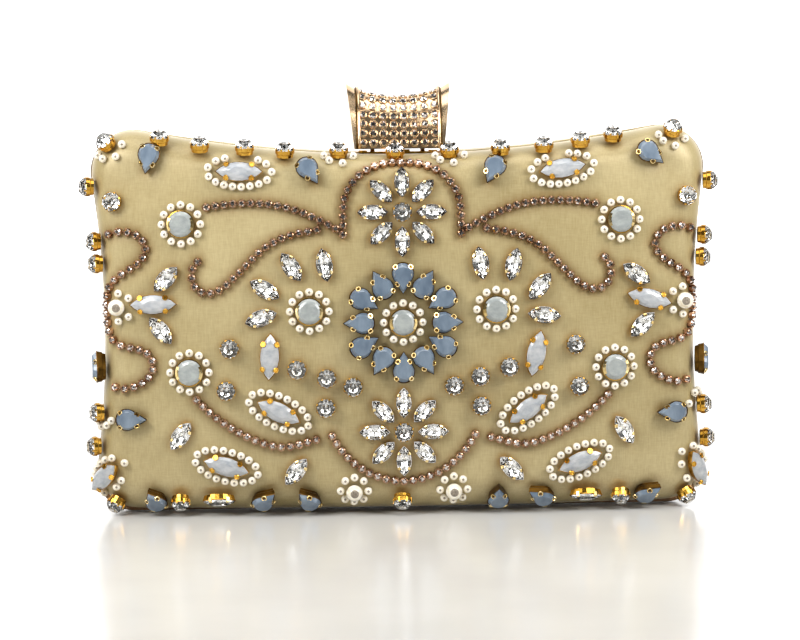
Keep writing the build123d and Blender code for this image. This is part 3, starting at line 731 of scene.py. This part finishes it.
# %% Long milky stones
NAVETTE = 15.6
NAVETTE_WIDTH = 6.4
long_places = sized(seats("navette_opals", CUP_LOW), NAVETTE)
outline = lens_outline(NAVETTE, NAVETTE_WIDTH, 18)
gem = draw_up("long_milky_stones", outline, [(1.8, 0.94), (2.1, 1.0), (2.6, 0.98), (3.3, 0.74), (3.75, 0.42)])
finish_piece(spread_copies("long_milky_stones", gem, long_places), long_opal, "front_half",
             ["navette_opals"])
setting = oval_setting(NAVETTE, NAVETTE_WIDTH, CUP_LOW, 3.1, looped=True)
finish_piece(spread_copies("long_milky_settings", setting, long_places), gold, "front_half",
             ["navette_opal_cups"])

# %% [markdown]
# ## Pearls
# A pearl is a ball with a drilled hole. The thread pulls it down onto the satin, and the hole shows
# as a small dimple on top, so the ball's top face is pushed in a little. The dimple is coloured
# grey-brown: painted shade of the hole.


# %% Pearls
def ball_seats(name):
    """Where each ball is, with Z pointing out of the bag's face, and its radius."""
    found = []
    for points, _ in loose_solids(name):
        middle = (points.min(axis=0) + points.max(axis=0)) / 2
        found.append((Matrix.Translation(middle) @ Matrix.Rotation(math.pi / 2, 4, "X"),
                      (points.max(axis=0) - points.min(axis=0)).max() / 2))
    return found


def drilled_ball(name, segments, rings):
    """A ball of 1 mm radius whose top is dimpled by the drilled hole."""
    bpy.ops.mesh.primitive_uv_sphere_add(segments=segments, ring_count=rings, radius=MM)
    piece = bpy.context.object
    piece.name = name
    edit(piece, "VERT", everything=False)
    done()
    for corner in piece.data.vertices:
        corner.select = corner.co.z > 0.999 * MM
    bpy.ops.object.mode_set(mode="EDIT")
    bpy.ops.transform.translate(value=(0, 0, -0.12 * MM))
    done()
    piece.data.materials.append(pearl)
    piece.data.materials.append(hole_shade)
    # The dimple's faces get the grey-brown finish, painted shade of the hole.
    for face in piece.data.polygons:
        face.material_index = 1 if face.center.z > 0.9 * MM else 0
    bpy.ops.object.shade_smooth()
    return piece


for node_name, piece_name, segments, rings in (
    ("small_pearls", "sewn_pearls", 12, 10), ("large_pearls", "sewn_large_pearls", 24, 18),
):
    balls = ball_seats(node_name)
    places = [spot @ Matrix.Scale(radius / MM, 4) for spot, radius in balls]
    pearls = spread_copies(piece_name, drilled_ball(piece_name, segments, rings), places)
    finish_piece(pearls, None, "front_half", [node_name])

# %% [markdown]
# ## Cup chain
# The lines are cup chain: small plated cups, each with a crystal and four claws, joined by short
# links. A link goes from each cup to the nearest one that it isn't yet joined to.

# %% Cup chain
CHAIN_CUP = 1.5
chain = [seat for seat, length in seats("chain_crystals", CHAIN_CUP)]
corner_ring = round_outline(1.42, 8)
cup = draw_up("cup", corner_ring, [(0.0, 0.8), (0.2, 1.0), (1.5, 1.0), (1.5, 0.8)])
gem = draw_up("gem", round_outline(1.16, 8), [(1.2, 1.0), (1.5, 0.98), (2.0, 0.55)])
claws = []
for i in range(4):
    turn = math.pi / 4 + i * math.pi / 2
    claws.append(claw(1.25 * math.cos(turn), 1.25 * math.sin(turn), turn, 1.3, 1.66, 0.6, 0.3, 0.4))
for piece in [cup] + claws:
    piece.data.materials.append(copper_gold)
cup = join("cup", [cup] + claws)

middles = np.array([seat.translation for seat in chain])
link_places = []
joined_pairs = set()
for i, seat in enumerate(chain):
    gaps = np.linalg.norm(middles - middles[i], axis=1)
    for j in np.argsort(gaps)[1:3]:
        pair = (min(i, int(j)), max(i, int(j)))
        if gaps[j] > 3.6 * MM or pair in joined_pairs:
            continue
        joined_pairs.add(pair)
        along = Vector(middles[j] - middles[i]).normalized()
        up = seat.to_3x3().col[2].normalized()
        across = up.cross(along).normalized()
        turned = Matrix((along, across, up)).transposed().to_4x4()
        middle = Vector(middles[i] + middles[j]) / 2 + up * 0.75 * MM
        link_places.append(Matrix.Translation(middle) @ turned)

bpy.ops.mesh.primitive_cylinder_add(vertices=6, radius=0.28 * MM, depth=1.2 * MM,
                                    rotation=(0, math.pi / 2, 0))
link = settle(bpy.context.object)
link.data.materials.append(copper_gold)
links = spread_copies("links", link, link_places)
cups = spread_copies("cups", cup, chain)
finish_piece(join("cup_chain", [cups, links]), None, "front_half", ["chain_cups"])
# These small stones are foil alone, and their dark and bright patches are painted facet reflections.
finish_piece(spread_copies("cup_chain_crystals", gem, chain), chain_foil, "front_half",
             ["chain_crystals"])
print("links", len(link_places))

# %% [markdown]
# ## Stones of the clasp
# The clasp is paved with rows of small crystals. Each sits in a raised bead of metal, so a ring is
# laid round each stone.

# %% Paved stones
pave = [seat for seat, length in seats("clasp_stones", 0)]
gem = draw_up("gem", round_outline(1.22, 10), [(0.0, 1.0), (0.35, 1.0), (0.85, 0.6)])
bpy.ops.mesh.primitive_torus_add(major_radius=1.34 * MM, minor_radius=0.22 * MM, major_segments=12,
                                 minor_segments=4)
bead = settle(bpy.context.object, Matrix.Translation((0, 0, 0.25 * MM)))
bpy.ops.object.shade_smooth()
# The paved stones are foil alone, and their dark and bright patches are painted facet reflections.
finish_piece(spread_copies("paved_stones", gem, pave), chain_foil, "clasp", ["clasp_stones"])
beads = spread_copies("paved_beads", bead, pave)
beads.data.materials.append(pale_gold)
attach(beads, "clasp")

# %% [markdown]
# Inside each flared end runs a rounded rib. Between it and the end lies a thin dark ring, painted
# shade in the gap. Each is a ring stretched to the clasp's arch. A slanted cut takes away its lower
# half, and a little more at the back, where the clasp needs room above the bag as it tilts.

# %% Ribs of the clasp
saddle_low, saddle_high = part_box("clasp_saddle")
RIB = 0.55 * MM
HEEL = 4.0 * MM


def arch_rib(name, x, wire, finish, grow):
    """Half a ring over the clasp at x, standing on its foot."""
    depth = (saddle_high.y - saddle_low.y) / 2 + grow
    height = saddle_high.z - saddle_low.z + grow
    bpy.ops.mesh.primitive_torus_add(major_radius=depth, minor_radius=wire, major_segments=64,
                                     minor_segments=8, rotation=(0, math.pi / 2, 0))
    piece = settle(bpy.context.object)
    piece.name = name
    edit(piece)
    bpy.ops.transform.resize(value=(1, 1, height / depth), center_override=(0, 0, 0))
    slant = Vector((0, -HEEL, 2 * depth)).normalized()
    bpy.ops.mesh.bisect(plane_co=(0, -depth, 0), plane_no=slant, clear_inner=True, use_fill=True)
    done()
    bpy.ops.object.shade_smooth()
    piece.data.transform(Matrix.Translation((x, (saddle_low.y + saddle_high.y) / 2, saddle_low.z)))
    piece.data.materials.append(finish)
    return piece


ribs = []
for end in (-1, 1):
    edge = saddle_high.x if end > 0 else saddle_low.x
    ribs.append(arch_rib("rib", edge - end * 0.75 * MM, RIB, pale_gold, 0.15 * MM))
    # A thin dark ring in the gap by the end: painted shade.
    ribs.append(arch_rib("painted_shade_gap", edge - end * 0.1 * MM, 0.32 * MM, antiqued_brass_and_painted_shade, 0.25 * MM))
finish_piece(join("clasp_ribs", ribs), None, "clasp", [])

# %% [markdown]
# ## Padded satin
# Each pan's satin is pulled over thin foam and sewn down under every stone. It starts as a box
# without the side towards the rim, cut into a grid and shrunk onto the CAD cover. Then it is held
# at its edge and under the stones, and a cloth simulation with a little air behind it puffs the
# rest. The puff is capped at half a millimetre, because the foam under it is thin and firm.

# %% Satin covers
GRID = 3.8 * MM
LIFT = 0.35 * MM
PUFF = 0.5 * MM
SAG = 1.6 * MM
CREST = 0.5 * MM
DIMPLE = 0.35 * MM
DIMPLE_WIDTH = 2.6 * MM


def grid_box(name, node_name, open_side):
    """A box round the CAD node, open towards the rim, cut into an even grid."""
    low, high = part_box(node_name)
    bpy.ops.mesh.primitive_cube_add(size=1, location=(low + high) / 2)
    piece = bpy.context.object
    piece.name = name
    piece.scale = high - low
    settle(piece)
    pick_faces(piece, lambda centre, normal: normal.y * open_side > 0.9)
    bpy.ops.mesh.delete(type="FACE")
    done()
    for axis in range(3):
        count = max(4, round((high[axis] - low[axis]) / GRID))
        normal = [0.0, 0.0, 0.0]
        normal[axis] = 1.0
        for i in range(1, count):
            spot = list((low + high) / 2)
            spot[axis] = low[axis] + (high[axis] - low[axis]) * i / count
            edit(piece)
            bpy.ops.mesh.bisect(plane_co=spot, plane_no=normal)
            done()
    return piece


def apply_modifier(piece, kind, **settings):
    only(piece)
    modifier = piece.modifiers.new(kind.title(), kind)
    for setting, value in settings.items():
        setattr(modifier, setting, value)
    bpy.ops.object.modifier_apply(modifier=modifier.name)


def points_of(piece):
    points = np.empty(3 * len(piece.data.vertices))
    piece.data.vertices.foreach_get("co", points)
    return points.reshape(-1, 3)


def puff_up(piece, held):
    """Blows the held satin out a little, and caps how far any point may move."""
    group = piece.vertex_groups.new(name="held")
    group.add([int(i) for i in np.nonzero(held)[0]], 1.0, "REPLACE")
    rest = points_of(piece)
    only(piece)
    cloth = piece.modifiers.new("Cloth", "CLOTH")
    cloth.settings.quality = 4
    cloth.settings.mass = 0.1
    cloth.settings.tension_stiffness = 20
    cloth.settings.use_pressure = True
    cloth.settings.uniform_pressure_force = 4
    cloth.settings.vertex_group_mass = "held"
    cloth.settings.effector_weights.gravity = 0
    for step in range(1, 21):
        bpy.context.scene.frame_set(step)
    bpy.ops.object.modifier_apply(modifier="Cloth")
    bpy.context.scene.frame_set(1)
    shift = points_of(piece) - rest
    reach = np.linalg.norm(shift, axis=1)
    shift *= np.minimum(1, PUFF / np.maximum(reach, 1e-9))[:, None]
    piece.data.vertices.foreach_set("co", (rest + shift).ravel())
    piece.data.update()
    print(piece.name, "puffed by up to", round(1000 * min(reach.max(), PUFF), 2), "mm")


def bulge(piece):
    """The padding sags below the pan's floor and stands a little above its top edge."""
    normals = np.empty(3 * len(piece.data.vertices))
    piece.data.vertices.foreach_get("normal", normals)
    up = normals.reshape(-1, 3)[:, 2]
    points = points_of(piece)
    points[:, 2] += np.where(up > 0, CREST, -SAG) * np.abs(up) ** 3
    piece.data.vertices.foreach_set("co", points.ravel())
    piece.data.update()


def sew_down(piece, sewn):
    """Lifts the satin clear of the foam, which rounding its edges had brought too near, and
    dimples it under each stone. An attribute keeps how strongly; the satin's finish uses it for
    painted shade and a painted reflection of gold round each stone."""
    points = points_of(piece)
    dimple_and_painted_shade = np.zeros(len(points))
    for spot in sewn:
        reach = np.linalg.norm(points - spot, axis=1) / DIMPLE_WIDTH
        dimple_and_painted_shade = np.maximum(dimple_and_painted_shade, np.exp(-reach**2))
    normals = np.empty(3 * len(points))
    piece.data.vertices.foreach_get("normal", normals)
    points += normals.reshape(-1, 3) * (LIFT - dimple_and_painted_shade * DIMPLE)[:, None]
    piece.data.vertices.foreach_set("co", points.ravel())
    piece.data.update()
    # Kept for the satin's painted shade and painted gold reflection round each stone.
    attribute = piece.data.attributes.new("dimple_and_painted_shade", "FLOAT", "POINT")
    attribute.data.foreach_set("value", dimple_and_painted_shade * 0.75)


def satin_cover(name, node_name, side, body, sewn):
    """side is -1 for the front pan and 1 for the rear. sewn lists where stones hold it down."""
    piece = grid_box(name, node_name, -side)
    apply_modifier(piece, "SHRINKWRAP", target=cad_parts[node_name], wrap_method="NEAREST_SURFACEPOINT")
    edit(piece)
    bpy.ops.mesh.normals_make_consistent(inside=False)
    done()
    bulge(piece)
    points = points_of(piece)
    rim_y = min(points[:, 1] * side) * side
    held = np.abs(points[:, 1] - rim_y) < 2.5 * MM
    for spot in sewn:
        held |= np.linalg.norm(points - spot, axis=1) < 3.4 * MM
    puff_up(piece, held)
    apply_modifier(piece, "SUBSURF", levels=2, render_levels=2)
    sew_down(piece, sewn)
    apply_modifier(piece, "SOLIDIFY", thickness=0.45 * MM, offset=-1)
    only(piece)
    bpy.ops.object.shade_smooth()
    finish_piece(piece, satin, body, [node_name])
    return piece


def spots_under(places, reach=0.0):
    """Points on the satin under each stone: one, or three along a long stone."""
    shares = (-1, 0, 1) if reach else (0,)
    return [np.array(seat @ Vector((share * reach * MM, 0, 0))) for seat in places for share in shares]


sewn_spots = spots_under(round_places) + spots_under(chain)
sewn_spots += spots_under(marquise_places, 3.2) + spots_under(drop_places, 2.6)
sewn_spots += spots_under(opal_places, 3.0) + spots_under(long_places, 4.6)
satin_cover("front_satin", "front_cover", -1, "front_half", sewn_spots)
satin_cover("rear_satin", "rear_cover", 1, "rear_half", [])

# %% [markdown]
# ## The CAD pieces that stay
# Metalwork, linings, foam and shells keep their CAD shape and only need their finish.

# %% Finishes for the CAD pieces
kept = {
    rim_gold: ["front_frame", "rear_frame"],
    gold: ["hinge_leaf_front_left", "hinge_leaf_front_right",
           "hinge_leaf_rear_left", "hinge_leaf_rear_right", "clasp_bracket", "clasp_bracket_rivets",
           "catch_plate", "catch_rivets"],
    pale_gold: ["clasp_saddle", "clasp_end_left", "clasp_end_right", "clasp_hook"],
    steel: ["hinge_pin_left", "hinge_pin_right", "clasp_pivot_pin", "clasp_spring"],
    lining: ["front_lining", "rear_lining"],
    foam: ["front_padding", "rear_padding"],
    board: ["front_shell", "rear_shell"],
}
for finish, names in kept.items():
    for name in names:
        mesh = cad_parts[name].data
        mesh.materials.clear()
        mesh.materials.append(finish)
print("CAD pieces with a finish:", sum(len(names) for names in kept.values()))

# %% [markdown]
# ## Studio
# The bag stands on a glossy white table, before a white wall. The wall glows faintly, so that it
# stays white whatever the lights do.

# %% Floor and wall
def lit_white(name, glow, shine):
    finish = new_finish(name)
    grain = noise(finish, place(finish), 60)
    colour = between(finish, grain, 0.3, 0.7, "#cfcecb", "#d6d5d2")
    return principled(finish, Base_Color=colour, Roughness=shine, IOR=1.9, Emission_Color=linear("#ffffff"),
                      Emission_Strength=glow)


bpy.ops.mesh.primitive_plane_add(size=3, location=(0, 0.2, -0.0004))
floor = settle(bpy.context.object)
floor.name = "floor"
floor.data.materials.append(lit_white("acrylic_pale_polished", 0.0, 0.18))
bpy.ops.mesh.primitive_plane_add(size=4, location=(0, 1.2, 0.8), rotation=(math.pi / 2, 0, 0))
wall = settle(bpy.context.object)
wall.name = "wall"
wall.data.materials.append(lit_white("paper_white_matte", 1.45, 0.8))


# %% [markdown]
# Satin shows its form at the rolled edges. So three large soft lights, above and at both sides, light
# the edges more than the face. Two small ones brighten the upper corners, and one in front gives the
# stones their glints.


# %% Lights
def soft_light(name, location, target, width, height, power):
    bpy.ops.object.light_add(type="AREA", location=location)
    light = bpy.context.object
    light.name = name
    light.data.shape = "RECTANGLE"
    light.data.size = width
    light.data.size_y = height
    light.data.energy = power
    light.visible_camera = False
    light.rotation_euler = (Vector(target) - light.location).to_track_quat("-Z", "Y").to_euler()


middle = (0, 0, 0.06)
soft_light("above", (0, -0.2, 0.95), middle, 1.0, 0.5, 5.2)
soft_light("left", (-0.85, -0.5, 0.4), middle, 0.4, 0.8, 2.3)
soft_light("right", (0.85, -0.5, 0.45), middle, 0.4, 0.8, 2.6)
soft_light("left corner", (-0.24, -0.2, 0.25), (-0.1, 0, 0.11), 0.16, 0.16, 0.85)
soft_light("right corner", (0.25, -0.2, 0.26), (0.1, 0, 0.11), 0.16, 0.16, 0.85)
soft_light("front", (-0.3, -1.0, 0.85), middle, 0.25, 0.25, 0.8)

world = bpy.data.worlds.new("studio")
bpy.context.scene.world = world
world.use_nodes = True
world.node_tree.nodes["Background"].inputs["Color"].default_value = linear("#b9b9b6")
world.node_tree.nodes["Background"].inputs["Strength"].default_value = 0.22
bpy.context.scene.view_settings.view_transform = "Standard"

# %% [markdown]
# The camera is far back with a long lens, a little above the bag and a little to its left.

# %% Camera
DISTANCE = 1.05
SWING = math.radians(-3)
RISE = math.radians(5)
ROLL = math.radians(-0.5)
LENS = 139.2
target = Vector((-0.0005, -0.012, 0.0652))
away = Vector((math.sin(SWING) * math.cos(RISE), -math.cos(SWING) * math.cos(RISE), math.sin(RISE)))
bpy.ops.object.camera_add(location=target + away * DISTANCE)
camera = bpy.context.object
camera.data.lens = LENS
camera.data.clip_end = 10
aim = (-away).to_track_quat("-Z", "Y").to_matrix().to_4x4()
camera.matrix_world = Matrix.Translation(camera.location) @ aim @ Matrix.Rotation(ROLL, 4, "Z")
bpy.context.scene.camera = camera
